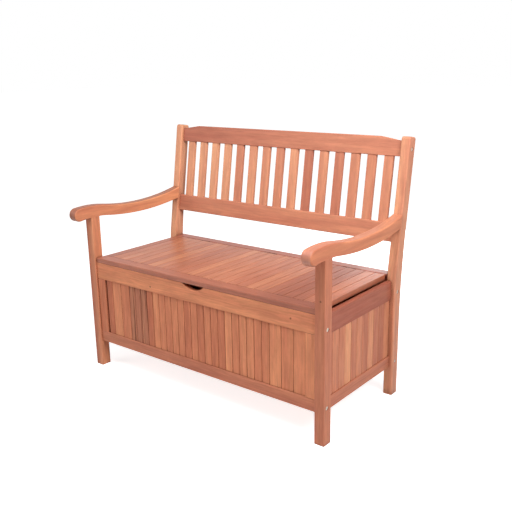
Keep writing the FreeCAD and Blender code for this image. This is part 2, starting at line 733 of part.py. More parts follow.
def back_top_rail():
    half, crank = SIZES["bench_width"] / 2 - SIZES["post_width"], SIZES["back_crank"]
    end, top = SIZES["back_end_height"], SIZES["back_top_height"]
    body = raked_body("back_top_rail", "0", "back_inset", "back_top_base")
    sketch = new_sketch(body, "XZ_Plane")
    draw_polygon(sketch, [(-half, 0), (half, 0), (half, end), (crank, top), (-crank, top), (-half, end)])
    sketch.addConstraint([
        Sketcher.Constraint("Symmetric", 0, 1, 0, 2, -1, 1),
        Sketcher.Constraint("Vertical", 1),
        Sketcher.Constraint("Vertical", 5),
        Sketcher.Constraint("Symmetric", 3, 1, 3, 2, -2),
        Sketcher.Constraint("Equal", 1, 5),
    ])
    sketch.addConstraint(Sketcher.Constraint("Horizontal", 0))
    dimension(sketch, "length", f"2 * {POST_INNER}", "DistanceX", 0, 1, 0, 2, 2 * half)
    dimension(sketch, "end", "back_end_height", "DistanceY", 1, 1, 1, 2, end)
    dimension(sketch, "top", "back_top_height", "DistanceY", 0, 1, 3, 2, top)
    dimension(sketch, "crank", "2 * back_crank", "DistanceX", 3, 2, 3, 1, 2 * crank)
    pad(body, sketch, "rail_thickness", reverse=True)

    def long_edge(edge):
        return edge.BoundBox.XLength > SIZES["post_depth"]

    soften(body, long_edge)
    slat_mortises(body, "0")
    rail_sockets(body, POST_INNER, "back_end_height / 2", 1)
    return node(body)


def back_lower_rail():
    body = raked_body("back_lower_rail", "0", "back_inset", "back_lower_base")
    add_box(body, "wood", f"-{POST_INNER}", "0", "0",
            f"2 * {POST_INNER}", "rail_thickness", "back_lower_height")
    soften(body, along(X_AXIS))
    slat_mortises(body, "back_lower_height - slat_tenon")
    for name, side in SIDES.items():
        low, length = outward(side, f"{POST_INNER} - dowel_half", POST_INNER)
        for i, lift in enumerate(DOWEL_LIFTS, start=1):
            drill(body, f"dowel_hole_{name}_{i}", low, "rail_thickness / 2", f"back_lower_height * {lift}",
                  ALONG_X, "dowel_radius", length)
    return node(body)


def back_slat(number):
    """A thin upright slat of the backrest with a stub tenon at each end."""
    x = f"slat_pitch * {number - (SLATS + 1) / 2} - slat_width / 2"
    height = "(back_top_base - back_lower_base - back_lower_height)"
    body = raked_body(f"back_slat_{number:02d}", x, "back_inset + (rail_thickness - slat_thickness) / 2",
                      "back_lower_base + back_lower_height")
    add_box(body, "wood", "0", "0", "0", "slat_width", "slat_thickness", height)
    soften(body, along(Z_AXIS), "slat_round")
    tenon_x = "(slat_width - slat_tenon_width) / 2"
    tenon_y = "(slat_thickness - slat_tenon_thickness) / 2"
    for name, z in (("foot", "-slat_tenon"), ("head", height)):
        add_box(body, name, tenon_x, tenon_y, z, "slat_tenon_width", "slat_tenon_thickness", "slat_tenon")
    return node(body)


def backrest():
    back_top_rail()
    back_lower_rail()
    for number in range(1, SLATS + 1):
        back_slat(number)


# Seat: fixed rear board and lifting lid

def hinge_x(boundary):
    """Middle of a hinge, on the joint between two lid slats."""
    return f"({LID_PITCH} * {boundary} - lid_width / 2)"


GAIN_DEPTH = "(knuckle_radius + knuckle_room - seam / 2)"
GAIN_BASE = "(axis_depth + knuckle_radius + knuckle_room)"
GAIN_HALF = "(hinge_length / 2 + knuckle_room)"


def at_height(z, edge):
    return abs(edge.CenterOfMass.z - z) < 0.01


def rear_seat_board():
    half = f"({POST_INNER} - rear_board_gap)"
    body = new_body("rear_seat_board", "0", SEAM_BACK, LID_UNDER)
    add_box(body, "wood", f"-{half}", "0", "0", f"2 * {half}", "rear_board_depth", "lid_thickness")
    soften(body, lambda edge: along(X_AXIS)(edge) and at_height(SIZES["lid_thickness"], edge), "seam_round")
    for seam in HINGE_SEAMS:
        cut_box(body, f"gain_{seam}", f"{hinge_x(seam)} - {GAIN_HALF}", "0", f"lid_thickness - {GAIN_BASE}",
                f"2 * {GAIN_HALF}", GAIN_DEPTH, GAIN_BASE)
    middle = f"{REAR_PANEL} + rail_thickness / 2 - {SEAM_BACK}"
    for i, x in enumerate(SEAT_DOWELS, start=1):
        drill(body, f"dowel_hole_{i}", f"{x}", middle, "0", None,
              "pin_dowel_radius", "lid_thickness - pin_dowel_radius")
    return node(body)


def lid_slat(number):
    """One slat of the lid, counted from the left, notched where a hinge knuckle lies."""
    thickness = SIZES["lid_thickness"]
    left = f"{LID_PITCH} * {number} - lid_width / 2 + lid_slat_gap / 2"
    start = f"{LID_FRONT} + lid_front_depth"
    length = f"({LID_BACK} - ({start}))"
    body = new_body(f"lid_slat_{number + 1:02d}", left, start, LID_UNDER)
    add_box(body, "wood", "0", "0", "0", f"{LID_PITCH} - lid_slat_gap", length, "lid_thickness")
    soften(body, lambda edge: along(Y_AXIS)(edge) and at_height(thickness, edge), "lid_slat_round")

    def rear_top(edge):
        box = edge.BoundBox
        return along(X_AXIS)(edge) and at_height(thickness, edge) and box.YMin > SIZES["lid_front_depth"]

    soften(body, rear_top, "seam_round", "seam_round")
    for seam in HINGE_SEAMS:
        if seam in (number, number + 1):
            x = "0" if seam == number else f"{LID_PITCH} - lid_slat_gap / 2 - {GAIN_HALF}"
            cut_box(body, f"gain_{seam}", x, f"{length} - {GAIN_DEPTH}", f"lid_thickness - {GAIN_BASE}",
                    f"{GAIN_HALF} - lid_slat_gap / 2", GAIN_DEPTH, GAIN_BASE)
    return body


def lid_batten(name, y):
    body = timber(f"lid_batten_{name}", "-batten_length / 2", y, f"{LID_UNDER} - batten_height",
                  "batten_length", "batten_width", "batten_height", X_AXIS)
    return node(body)


def lid():
    node(timber("lid_front_board", "-lid_width / 2", LID_FRONT, LID_UNDER,
                "lid_width", "lid_front_depth", "lid_thickness", X_AXIS))
    group("lid_slats", [lid_slat(number) for number in range(LID_SLATS)])
    start = f"({LID_FRONT} + lid_front_depth)"
    lid_batten("front", f"{start} - batten_width / 5")
    lid_batten("middle", f"({start} + {LID_BACK} - batten_width) / 2")
    lid_batten("rear", f"{LID_BACK} - batten_width")


# Hinges, drawn about their pin

def hinge_body(label, seam):
    return new_body(f"{label}_{seam}", hinge_x(seam), HINGE_Y, HINGE_Z)


KNUCKLE = "(hinge_length / 3 - knuckle_gap)"


def hinge_leaf(label, seam, side, knuckles):
    """A leaf on one edge of the seam; side is -1 for the lid and 1 for the fixed board."""
    body = hinge_body(label, seam)
    y = "-seam / 2" if side < 0 else "seam / 2 - leaf_thickness"
    top = "(knuckle_radius + knuckle_room)"
    add_box(body, "plate", "-hinge_length / 2", y, "-leaf_drop", "hinge_length", "leaf_thickness",
            f"leaf_drop - {top}")
    for i, centre in enumerate(knuckles, start=1):
        x = f"hinge_length / 3 * {centre} - {KNUCKLE} / 2"
        add_box(body, f"neck_{i}", x, y, f"-{top} - leaf_thickness", KNUCKLE, "leaf_thickness",
                f"{top} + leaf_thickness - neck_drop")
        add_rod(body, f"knuckle_{i}", x, "0", "0", ALONG_X, "knuckle_radius", KNUCKLE)
    drill(body, "bore", "-hinge_length / 2", "0", "0", ALONG_X, "pin_radius + pin_play", "hinge_length")
    for name, x in screw_places().items():
        drill(body, f"screw_hole_{name}", x, y, "-screw_drop", ALONG_Y, "screw_head", "leaf_thickness")
    return body


def screw_places():
    return {"left": f"-{LID_PITCH} / 2", "right": f"{LID_PITCH} / 2"}


def hinge_screws(seam, side):
    """Two screws through a leaf, each into the middle of a slat or into the fixed board."""
    screws = []
    for name, x in screw_places().items():
        turn = ALONG_Y if side > 0 else Rotation(X_AXIS, 90)
        face = "seam / 2 - leaf_thickness" if side > 0 else "leaf_thickness - seam / 2"
        body = new_body(f"hinge_screw_{seam}_{name}_{'fixed' if side > 0 else 'lid'}",
                        f"{hinge_x(seam)} + {x}", f"{HINGE_Y} + {face}", f"{HINGE_Z} - screw_drop", turn)
        add_rod(body, "shank", "0", "0", "0", None, "screw_radius", "screw_length")
        add_rod(body, "head", "0", "0", "0", None, "screw_head", "leaf_thickness")
        screws.append(body)
    return screws


def hinges():
    group("hinge_leaves_fixed", [hinge_leaf("fixed_leaf", seam, 1, (-1, 1)) for seam in HINGE_SEAMS])
    group("hinge_leaves_lid", [hinge_leaf("lid_leaf", seam, -1, (0,)) for seam in HINGE_SEAMS])
    pins = []
    for seam in HINGE_SEAMS:
        body = hinge_body("hinge_pin", seam)
        add_rod(body, "pin", "-hinge_length / 2", "0", "0", ALONG_X, "pin_radius", "hinge_length")
        pins.append(body)
    group("hinge_pins", pins)
    group("hinge_screws_fixed", [screw for seam in HINGE_SEAMS for screw in hinge_screws(seam, 1)])
    group("hinge_screws_lid", [screw for seam in HINGE_SEAMS for screw in hinge_screws(seam, -1)])


# Floor of the box

def box_floor():
    """Tongued boards from front to back, on a cleat along each long panel."""
    front = f"({FRONT_PANEL} + rail_thickness)"
    length = f"2 * ({LEG_INNER} - cleat_size)"
    base = "bottom_rail_base + cleat_lift"
    for name, y in (("front", front), ("rear", f"{REAR_PANEL} - cleat_size")):
        node(timber(f"floor_cleat_{name}", f"cleat_size - {LEG_INNER}", y, base,
                    length, "cleat_size", "cleat_size", X_AXIS))
    pitch = f"(2 * {LEG_INNER} / {FLOOR_BOARDS})"
    width = f"({pitch} - board_gap)"
    depth = f"({REAR_PANEL} - {front} - 2 * floor_play)"
    cheek = "(floor_thickness - tongue_thickness) / 2"
    boards = []
    for i in range(FLOOR_BOARDS):
        body = timber(f"floor_board_{i + 1:02d}", f"{pitch} * {i} - {LEG_INNER} + board_gap / 2",
                      f"{front} + floor_play", f"{base} + cleat_size",
                      width, depth, "floor_thickness", Y_AXIS)
        if i < FLOOR_BOARDS - 1:
            add_box(body, "tongue", width, "0", cheek, "tongue_length", depth, "tongue_thickness")
        if i > 0:
            cut_box(body, "groove", "0", "0", f"{cheek} - tongue_play",
                    "tongue_length - board_gap + tongue_play", depth, "tongue_thickness + 2 * tongue_play")
        boards.append(body)
    group("floor_boards", boards)


# Bolts, barrel nuts and dowels

def bolt_rows():
    """Where the bolts cross each side frame: name, place along Y and height."""
    rear = f"({REAR_PANEL} + rail_thickness / 2)"
    front = f"({FRONT_PANEL} + rail_thickness / 2)"
    behind, height = on_rake(BACK_MIDDLE, "back_top_base + back_end_height / 2")
    return {
        "front_top": (front, TOP_BOLT_Z),
        "front_low": (front, LOW_BOLT_Z),
        "rear_top": (rear, f"{REAR_RAIL_BASE} + bolt_lift"),
        "rear_low": (rear, LOW_BOLT_Z),
        "back": (f"{POST_FRONT} + {behind}", height),
    }


def bolt(label, side, y, z):
    """A socket-head bolt that points to the middle of the bench."""
    body = new_body(label, f"{side} * {BOLT_HEAD_BASE}", y, z, ALONG_X if side > 0 else ALONG_MINUS_X)
    add_rod(body, "shank", "0", "0", "-bolt_length", None, "bolt_radius", "bolt_length")
    add_rod(body, "head", "0", "0", "0", None, "bolt_head", "bolt_head_length")
    socket = feature(body, "SubtractivePrism", "socket", "0", "0", "bolt_head_length - socket_depth",
                     Circumradius="socket_radius", Height="socket_depth")
    socket.Polygon = 6
    return body


def barrel_nut(label, side, y, z, raked):
    """A cross dowel of steel that the bolt screws into."""
    turn = ALONG_Y
    if raked:
        turn = Rotation(X_AXIS, -90 - SIZES["rake_angle"])
    body = new_body(label, f"{side} * {NUT_X}", y, z, turn)
    add_rod(body, "barrel", "0", "0", "-nut_length / 2", None, "nut_radius", "nut_length")
    drill(body, "thread", "-nut_radius", "0", "0", ALONG_X, "bolt_radius + pin_play", "2 * nut_radius")
    return body


def fasteners():
    bolts = []
    nuts = []
    for name, side in SIDES.items():
        for row, (y, z) in bolt_rows().items():
            bolts.append(bolt(f"bolt_{row}_{name}", side, y, z))
            nuts.append(barrel_nut(f"nut_{row}_{name}", side, y, z, row == "back"))
    group("frame_bolts", bolts)
    group("barrel_nuts", nuts)


def dowel(label, x, y, z, turn, radius, length):
    """A wooden dowel pin."""
    body = new_body(label, x, y, z, turn)
    add_rod(body, "pin", "0", "0", "0", None, radius, length)
    return body


def dowels():
    arm_pins = []
    back_pins = []
    arm_y, arm_z = arm_dowel_place()
    for name, side in SIDES.items():
        leg_x = f"{side} * (bench_width / 2 - leg_width / 2)"
        arm_pins.append(dowel(f"leg_dowel_{name}", leg_x, f"{LEG_FRONT} + leg_depth / 2",
                              "arm_seat - dowel_half", None, "dowel_radius", "2 * dowel_half"))
        post_x = f"{side} * (bench_width / 2 - post_width / 2)"
        arm_pins.append(dowel(f"post_dowel_{name}", post_x, f"{LEG_FRONT} + {arm_y} - dowel_half", arm_z,
                              ALONG_Y, "dowel_radius", "2 * dowel_half"))
        low, length = outward(side, f"{POST_INNER} - dowel_half", f"{POST_INNER} + dowel_half")
        for i, lift in enumerate(DOWEL_LIFTS, start=1):
            behind, height = on_rake(BACK_MIDDLE, f"back_lower_base + back_lower_height * {lift}")
            back_pins.append(dowel(f"back_dowel_{name}_{i}", low, f"{POST_FRONT} + {behind}", height,
                                   ALONG_X, "dowel_radius", length))
    group("arm_dowels", arm_pins)
    group("back_rail_dowels", back_pins)
    middle = f"{REAR_PANEL} + rail_thickness / 2"
    top = "lid_thickness - pin_dowel_radius"
    rail = doc.getObject("rear_top_rail")
    seat_pins = []
    for i, x in enumerate(SEAT_DOWELS, start=1):
        drill(rail, f"seat_dowel_{i}", f"{x}", "rail_thickness / 2", f"top_rail_height - ({top})", None,
              "pin_dowel_radius", top)
        seat_pins.append(dowel(f"seat_dowel_{i}", f"{x}", middle, f"{LID_UNDER} - ({top})", None,
                               "pin_dowel_radius", f"2 * ({top})"))
    group("seat_board_dowels", seat_pins)


# Checks and export

def check():
    """Stops at the first object that failed, cut nothing or has no valid shape."""
    for thing in doc.Objects:
        if "Invalid" in thing.State or "Error" in thing.State:
            raise RuntimeError(f"{thing.Label} failed: {thing.State}")
        if thing.TypeId.startswith("PartDesign::Subtractive"):
            if thing.Shape.Volume >= thing.BaseFeature.Shape.Volume - 0.01:
                raise RuntimeError(f"{thing.Label} cuts nothing")
    for item in nodes:
        if item.Shape.isNull() or not item.Shape.isValid():
            raise RuntimeError(f"{item.Label} has no valid shape")


for side_name, side_sign in SIDES.items():
    side_frame(side_name, side_sign)
front_panel()
rear_panel()
backrest()
rear_seat_board()
lid()
hinges()
box_floor()
fasteners()
dowels()
doc.recompute()
check()

os.makedirs("parts", exist_ok=True)
for item in nodes:
    item.Shape.exportStep(f"parts/{item.Label}.step")
    box = item.Shape.BoundBox
    print(f"{item.Label}: {len(item.Shape.Solids)} solid(s), X {box.XMin:.1f} {box.XMax:.1f}  "
          f"Y {box.YMin:.1f} {box.YMax:.1f}  Z {box.ZMin:.1f} {box.ZMax:.1f}")
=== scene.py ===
import math
from collections import namedtuple

import bpy
from mathutils import Matrix, Vector


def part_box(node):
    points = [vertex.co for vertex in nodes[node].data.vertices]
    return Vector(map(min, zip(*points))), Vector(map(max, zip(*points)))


# Garden storage bench in oiled reddish hardwood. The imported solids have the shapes; this script gives
# each board its own wood, dresses the hardware in metal, and sets up the studio and the camera.

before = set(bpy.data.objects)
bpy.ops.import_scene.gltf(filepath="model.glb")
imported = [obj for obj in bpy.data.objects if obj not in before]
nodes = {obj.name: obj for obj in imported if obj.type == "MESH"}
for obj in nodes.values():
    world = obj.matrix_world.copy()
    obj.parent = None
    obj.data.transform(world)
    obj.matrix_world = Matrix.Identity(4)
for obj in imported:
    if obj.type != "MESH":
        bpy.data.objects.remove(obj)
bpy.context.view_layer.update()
scene = bpy.context.scene


# Studio

CAMERA_PLACE = Vector((1.6245, -1.9138, 1.1691))
CAMERA_TARGET = Vector((0.0003, 0.1204, 0.4568))
CAMERA_ROLL = -0.0176
LAMP_TARGET = Vector((0, 0, 0.5))


def look_from(position, target, roll):
    """Camera matrix at position, looking at target, turned about its own view axis by roll radians."""
    back = (position - target).normalized()
    right = Vector((0, 0, 1)).cross(back).normalized()
    up = back.cross(right)
    turned_right = right * math.cos(roll) + up * math.sin(roll)
    turned_up = up * math.cos(roll) - right * math.sin(roll)
    matrix = Matrix((turned_right, turned_up, back)).transposed().to_4x4()
    matrix.translation = position
    return matrix


def add_camera():
    data = bpy.data.cameras.new("camera")
    data.sensor_width = 36
    data.lens = 49.41
    camera = bpy.data.objects.new("camera", data)
    scene.collection.objects.link(camera)
    camera.matrix_world = look_from(CAMERA_PLACE, CAMERA_TARGET, CAMERA_ROLL)
    scene.camera = camera


def add_area_light(name, position, size, power):
    data = bpy.data.lights.new(name, "AREA")
    data.shape = "DISK"
    data.size = size
    data.energy = power
    lamp = bpy.data.objects.new(name, data)
    scene.collection.objects.link(lamp)
    lamp.matrix_world = look_from(Vector(position), LAMP_TARGET, 0)


def seen_directly(tree):
    """A value of 1 for rays that show the background: from the camera, in gloss and through glass."""
    path = tree.nodes.new("ShaderNodeLightPath")
    total = path.outputs["Is Camera Ray"]
    for name in ("Is Glossy Ray", "Is Transmission Ray"):
        either = tree.nodes.new("ShaderNodeMath")
        either.operation = "MAXIMUM"
        tree.links.new(total, either.inputs[0])
        tree.links.new(path.outputs[name], either.inputs[1])
        total = either.outputs[0]
    return total


def add_world(ambient):
    """White behind the object, and a plain even light on it."""
    world = bpy.data.worlds.new("studio")
    world.use_nodes = True
    tree = world.node_tree
    shown = tree.nodes["Background"]
    shown.inputs["Color"].default_value = (1, 1, 1, 1)
    shown.inputs["Strength"].default_value = 1
    light = tree.nodes.new("ShaderNodeBackground")
    light.inputs["Color"].default_value = (1, 1, 1, 1)
    light.inputs["Strength"].default_value = ambient
    mix = tree.nodes.new("ShaderNodeMixShader")
    tree.links.new(seen_directly(tree), mix.inputs[0])
    tree.links.new(light.outputs[0], mix.inputs[1])
    tree.links.new(shown.outputs[0], mix.inputs[2])
    tree.links.new(mix.outputs[0], tree.nodes["World Output"].inputs["Surface"])
    scene.world = world


def add_floor():
    """A wide pale floor that reads as white and keeps a soft shadow."""
    mesh = bpy.data.meshes.new("floor")
    half = 30
    corners = [(-half, -half, 0), (half, -half, 0), (half, half, 0), (-half, half, 0)]
    mesh.from_pydata(corners, [], [(0, 1, 2, 3)])
    floor = bpy.data.objects.new("floor", mesh)
    below_feet = -0.0005
    floor.location.z = below_feet
    scene.collection.objects.link(floor)
    material = bpy.data.materials.new("floor")
    material.use_nodes = True
    tree = material.node_tree
    surface = tree.nodes["Principled BSDF"]
    surface.inputs["Base Color"].default_value = (0.8, 0.8, 0.8, 1)
    surface.inputs["Roughness"].default_value = 0.9
    surface.inputs["Specular IOR Level"].default_value = 0.1
    surface.inputs["Emission Color"].default_value = (1, 1, 1, 1)
    place = tree.nodes.new("ShaderNodeTexCoord")
    distance = tree.nodes.new("ShaderNodeVectorMath")
    distance.operation = "LENGTH"
    tree.links.new(place.outputs["Object"], distance.inputs[0])
    fade = tree.nodes.new("ShaderNodeMapRange")
    fade.interpolation_type = "SMOOTHSTEP"
    tree.links.new(distance.outputs["Value"], fade.inputs["Value"])
    for name, value in (("From Min", 0.7), ("From Max", 2.2), ("To Min", 0.80), ("To Max", 1.0)):
        fade.inputs[name].default_value = value
    lift = tree.nodes.new("ShaderNodeMath")
    lift.operation = "MULTIPLY"
    tree.links.new(seen_directly(tree), lift.inputs[0])
    tree.links.new(fade.outputs["Result"], lift.inputs[1])
    tree.links.new(lift.outputs[0], surface.inputs["Emission Strength"])
    mesh.materials.append(material)


# Materials

def linear(red, green, blue):
    """A colour given in screen values from 0 to 255, as linear light."""
    def channel(value):
        value /= 255
        return value / 12.92 if value <= 0.04045 else ((value + 0.055) / 1.055) ** 2.4
    return (channel(red), channel(green), channel(blue), 1)


# How the wood of each part of the bench is cut and oiled: its red and blue against its green, the strength
# and roughness of its gloss, how strongly its figure shows, and how much painted shade darkens its tops and
# ends.
Cut = namedtuple("Cut", "red blue gloss rough figure handled", defaults=[0])
PANEL = Cut(2.33, 0.50, 0.15, 0.46, 1.0)
FRAME = Cut(2.15, 0.52, 0.20, 0.44, 0.9)
LEFT_ARM = Cut(2.16, 0.52, 0.12, 0.40, 0.6, 1.0)
RIGHT_ARM = Cut(2.22, 0.51, 0.12, 0.40, 0.6, 0.2)
BACK = Cut(2.08, 0.57, 0.25, 0.42, 0.8)
SEAT = Cut(2.09, 0.48, 0.42, 0.32, 1.0)
# The rear seat board's bluer tone is a painted reflection: the mauve cast of the white behind it.
REAR_SEAT = Cut(2.13, 0.58, 0.42, 0.32, 0.8)


def tone(depth, cut, stain=0):
    """Colour of the oiled wood, from 0 for the palest sapwood to 9 for the darkest heartwood.

    The fourth value is the wood's mineral stain, from 0 to 1, which greys it.
    """
    green = 0.385 * 0.878 ** depth
    red = cut.red + 0.13 * depth - 0.38 * stain
    blue = cut.blue + 0.008 * depth + 0.04 * stain
    return (green * red, green, green * blue, stain)


def board_tone(code, cut):
    """Tone of a board by its code: a digit is its depth, a letter from a is the same in stained wood."""
    if code.isdigit():
        return tone(int(code), cut)
    return tone("abcdefghij".index(code), cut, 1)


class Shader:
    """A material's nodes, with short calls for the ones used here."""

    def __init__(self, name):
        self.material = bpy.data.materials.new(name)
        self.material.use_nodes = True
        tree = self.material.node_tree
        self.nodes = tree.nodes
        self.links = tree.links
        self.surface = tree.nodes["Principled BSDF"]

    def add(self, kind, **settings):
        made = self.nodes.new(kind)
        for name, value in settings.items():
            setattr(made, name, value)
        return made

    def feed(self, socket, value):
        """Links a socket to another, or sets its constant."""
        if isinstance(value, bpy.types.NodeSocket):
            self.links.new(value, socket)
        else:
            socket.default_value = value

    def math(self, operation, *values, clamp=False):
        made = self.add("ShaderNodeMath", operation=operation, use_clamp=clamp)
        for socket, value in zip(made.inputs, values):
            self.feed(socket, value)
        return made.outputs[0]

    def vector(self, x, y, z):
        made = self.add("ShaderNodeCombineXYZ")
        for socket, value in zip(made.inputs, (x, y, z)):
            self.feed(socket, value)
        return made.outputs[0]

    def split(self, vector):
        made = self.add("ShaderNodeSeparateXYZ")
        self.feed(made.inputs[0], vector)
        return list(made.outputs)

    def noise(self, vector, detail=3.0, roughness=0.55):
        made = self.add("ShaderNodeTexNoise")
        self.feed(made.inputs["Vector"], vector)
        made.inputs["Scale"].default_value = 1
        made.inputs["Detail"].default_value = detail
        made.inputs["Roughness"].default_value = roughness
        return made.outputs["Fac"]

    def spread(self, value, low, high):
        """The value stretched so that low becomes 0 and high becomes 1."""
        made = self.add("ShaderNodeMapRange", interpolation_type="SMOOTHSTEP")
        self.feed(made.inputs["Value"], value)
        made.inputs["From Min"].default_value = low
        made.inputs["From Max"].default_value = high
        return made.outputs["Result"]

    def mix(self, factor, first, second, blend="MIX"):
        made = self.add("ShaderNodeMix", data_type="RGBA", blend_type=blend)
        self.feed(made.inputs["Factor"], factor)
        self.feed(made.inputs["A"], first)
        self.feed(made.inputs["B"], second)
        return next(item for item in made.outputs if item.type == "RGBA")

    def tint(self, factor, colour, shade):
        """The colour, multiplied by a shade as far as the factor says."""
        return self.mix(factor, colour, self.mix(1.0, colour, shade, "MULTIPLY"))

    def scale(self, colour, value):
        """The colour times a value."""
        return self.mix(1.0, colour, self.vector(value, value, value), "MULTIPLY")


AXES = {"x": 0, "y": 1, "z": 2}


class Boards:
    """How a node is split into boards: the axis they follow each other on, and each one's share of it."""

    def __init__(self, node, axis, tones, shares=None):
        low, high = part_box(node)
        self.axis = AXES[axis]
        self.low, self.high = low[self.axis], high[self.axis]
        self.tones = tones
        self.shares = shares or [1] * len(tones)

    def runs(self):
        """Stretches of equal boards: first board's number, its start and the boards' width, in metres."""
        unit = (self.high - self.low) / sum(self.shares)
        start = self.low
        found = []
        for number, share in enumerate(self.shares):
            if number == 0 or share != self.shares[number - 1]:
                found.append((number, start, share * unit))
            start += share * unit
        return found

    def index(self, shader, position):
        """The number of the board at a position, counted from 0."""
        total = None
        for number, start, width in self.runs():
            offset = shader.math("SUBTRACT", position, start)
            steps = shader.math("FLOOR", shader.math("DIVIDE", offset, width))
            here = shader.math("ADD", steps, float(number))
            if total is None:
                total = here
            else:
                past = shader.math("GREATER_THAN", position, start)
                change = shader.math("SUBTRACT", here, total)
                total = shader.math("ADD", total, shader.math("MULTIPLY", past, change))
        return total

    def middle(self, shader, index):
        """About the middle of a board, by its number."""
        width = (self.high - self.low) / len(self.tones)
        return shader.math("MULTIPLY_ADD", index, width, self.low + width / 2)

    def tone(self, shader, index, cut):
        """The board's tone and stain, looked up by its number."""
        count = len(self.tones)
        ramp = shader.add("ShaderNodeValToRGB")
        colours = ramp.color_ramp
        colours.interpolation = "CONSTANT"
        stops = [i for i in range(count) if i == 0 or self.tones[i] != self.tones[i - 1]]
        while len(colours.elements) < len(stops):
            colours.elements.new(1.0)
        for element, i in zip(colours.elements, stops):
            element.position = i / count
            element.color = board_tone(self.tones[i], cut)
        shader.feed(ramp.inputs["Fac"], shader.math("DIVIDE", shader.math("ADD", index, 0.5), float(count)))
        return ramp.outputs["Color"], ramp.outputs["Alpha"]


class Grain:
    """Where each point lies in its log: metres along the grain, and two ways across it from the pith."""

    # In metres: how much of the log the boards come from, and how the pith lies and sways.
    log_length = 9.0
    log_radius = 0.09
    pith_offset = 0.02
    sway = 0.012

    def __init__(self, shader, position, axis, key, middles):
        self.shader = shader
        chance = shader.add("ShaderNodeTexWhiteNoise", noise_dimensions="1D")
        shader.feed(chance.inputs["W"], key)
        self.luck = shader.split(chance.outputs["Color"])
        start = shader.math("MULTIPLY", self.luck[0], self.log_length)
        self.along = shader.math("ADD", position[axis], start)
        across = [i for i in range(3) if i != axis]
        sides = []
        for i, chosen in zip(across, self.luck[1:]):
            local = shader.math("SUBTRACT", position[i], middles[i])
            near = shader.math("SUBTRACT", local, self.pith_offset)
            sides.append(shader.math("MULTIPLY_ADD", chosen, self.log_radius, near))
        run = shader.math("MULTIPLY", self.along, 4.0)
        slow = shader.vector(run, shader.math("MULTIPLY", sides[0], 9.0), key)
        bend = shader.math("SUBTRACT", shader.noise(slow, 2.0), 0.5)
        self.sides = [shader.math("MULTIPLY_ADD", bend, self.sway, side) for side in sides]

    def noise(self, run, cross, detail, roughness=0.55):
        """A pattern drawn out along the grain: run and cross say how fine it is each way, per metre."""
        lengthwise = self.shader.math("MULTIPLY", self.along, run)
        sidewise = [self.shader.math("MULTIPLY", side, cross) for side in self.sides]
        return self.shader.noise(self.shader.vector(lengthwise, *sidewise), detail, roughness)


RING_SPACING = 0.0085


def growth_rings(shader, grain):
    """Growth rings cut lengthwise, by the distance from a wandering pith."""
    wander = shader.math("SUBTRACT", grain.noise(1.7, 7.0, 2.0), 0.5)
    pith = shader.math("MULTIPLY_ADD", wander, 0.06, grain.sides[0])
    bow = shader.math("MULTIPLY_ADD", wander, 0.035, grain.sides[1])
    squares = shader.math("ADD", shader.math("MULTIPLY", pith, pith), shader.math("MULTIPLY", bow, bow))
    radius = shader.math("SQRT", squares)
    ripple = shader.math("MULTIPLY", grain.noise(4.0, 60.0, 2.0), 2.2)
    wave = shader.math("SINE", shader.math("MULTIPLY_ADD", radius, 2 * math.pi / RING_SPACING, ripple))
    return shader.math("MULTIPLY_ADD", wave, 0.5, 0.5)


Figure = namedtuple("Figure", "rings streak fibre band fleck pores")


def wood_figure(shader, grain):
    return Figure(
        rings=growth_rings(shader, grain),
        streak=shader.spread(grain.noise(7.0, 260.0, 4.0, 0.6), 0.30, 0.72),
        fibre=grain.noise(26.0, 900.0, 3.0, 0.65),
        band=shader.spread(grain.noise(3.0, 42.0, 3.0), 0.32, 0.70),
        fleck=shader.spread(grain.noise(13.0, 75.0, 3.0, 0.6), 0.32, 0.68),
        pores=shader.spread(grain.noise(60.0, 900.0, 1.0), 0.60, 0.74),
    )


# Shades that the wood's colour is multiplied by, and the colour of a knot.
LATEWOOD = linear(205, 188, 184)
ROSE = (0.92, 0.86, 0.88, 1)
TAN = (1.06, 1.09, 1.07, 1)
VEIN = linear(150, 128, 120)
END_GRAIN = linear(222, 212, 205)
WORN = (1.28, 1.36, 1.42, 1)
# The next shade is painted shade for joints and corners.
JOINT_SHADE = linear(150, 128, 120)
# The next shade is painted shade for the tops and ends of the arms.
TOP_AND_END_SHADE = linear(196, 180, 172)
KNOT = linear(84, 52, 38)


def figured(shader, base, figure, cut):
    """Latewood, streaks and pores darken the tone, and the bands drift it from rose to tan."""
    dark = shader.math("MULTIPLY_ADD", figure.streak, 0.18, shader.math("MULTIPLY", figure.rings, 0.15))
    dark = shader.math("ADD", dark, shader.math("MULTIPLY", figure.pores, 0.22), clamp=True)
    dark = shader.math("MULTIPLY", dark, cut.figure)
    colour = shader.tint(dark, base, LATEWOOD)
    colour = shader.mix(1.0, colour, shader.mix(figure.band, ROSE, TAN), "MULTIPLY")
    patch = shader.math("MULTIPLY_ADD", figure.fleck, 0.16 * cut.figure, 1 - 0.08 * cut.figure)
    return shader.scale(colour, patch)


def veined(shader, colour, grain, stain):
    """Dark veins in boards with mineral stain."""
    vein = shader.spread(grain.noise(2.5, 150.0, 3.0), 0.50, 0.66)
    return shader.tint(shader.math("MULTIPLY", vein, stain), colour, VEIN)


def weathered(shader, colour, endwise, fleck):
    """End grain drinks more oil, and worn edges turn paler."""
    ends = shader.math("MULTIPLY", shader.spread(endwise, 0.75, 0.98), 0.55)
    colour = shader.tint(ends, colour, END_GRAIN)
    rim = shader.add("ShaderNodeAmbientOcclusion", samples=4, inside=True, only_local=True)
    rim.inputs["Distance"].default_value = 0.004
    edge = shader.spread(rim.outputs["AO"], 0.9, 0.35)
    worn = shader.math("MULTIPLY", edge, shader.math("MULTIPLY_ADD", fleck, 0.12, 0.03))
    return shader.tint(worn, colour, WORN)


